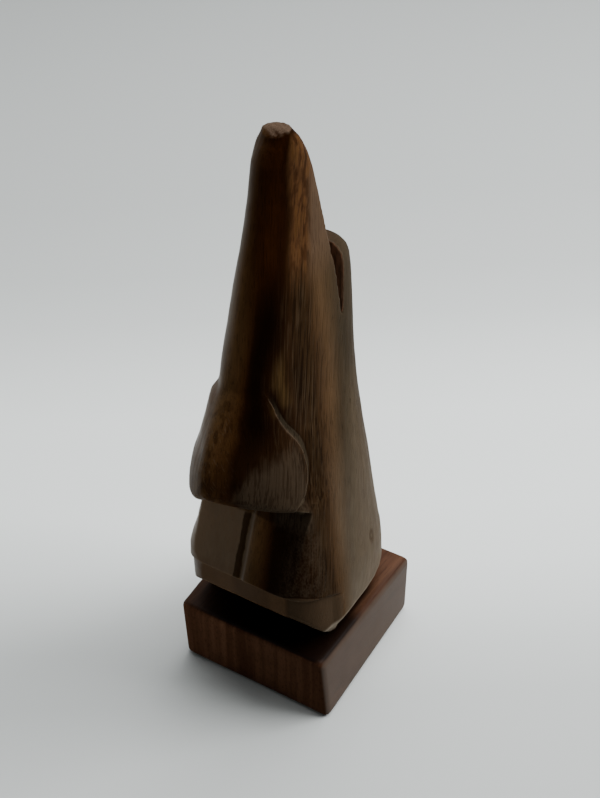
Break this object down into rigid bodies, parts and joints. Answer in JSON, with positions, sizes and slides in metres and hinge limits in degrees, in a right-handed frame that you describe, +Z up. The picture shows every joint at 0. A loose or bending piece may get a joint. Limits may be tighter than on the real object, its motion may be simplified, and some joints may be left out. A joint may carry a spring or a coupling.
{
  "type": "eyeglasses display stand",
  "caption": "Carved wooden nose on a square base that holds a pair of eyeglasses, its back slotted for the folded temples.",
  "frame": {"origin": "middle of the base block's underside", "axes": "+Z up, -Y is the front that the nose points to, X across; the stand is symmetric about X = 0"},
  "size_m": [0.048, 0.0656, 0.1684],
  "materials": {
    "carved_rosewood": "satin wax over carved wood",
    "base_rosewood": "satin wax",
    "screw_steel": "plain zinc plated"
  },
  "bodies": {
    "root": {"nose_carving": "carved_rosewood", "base_block": "base_rosewood", "base_screw_left": "screw_steel", "base_screw_right": "screw_steel"}
  },
  "joints": []
}
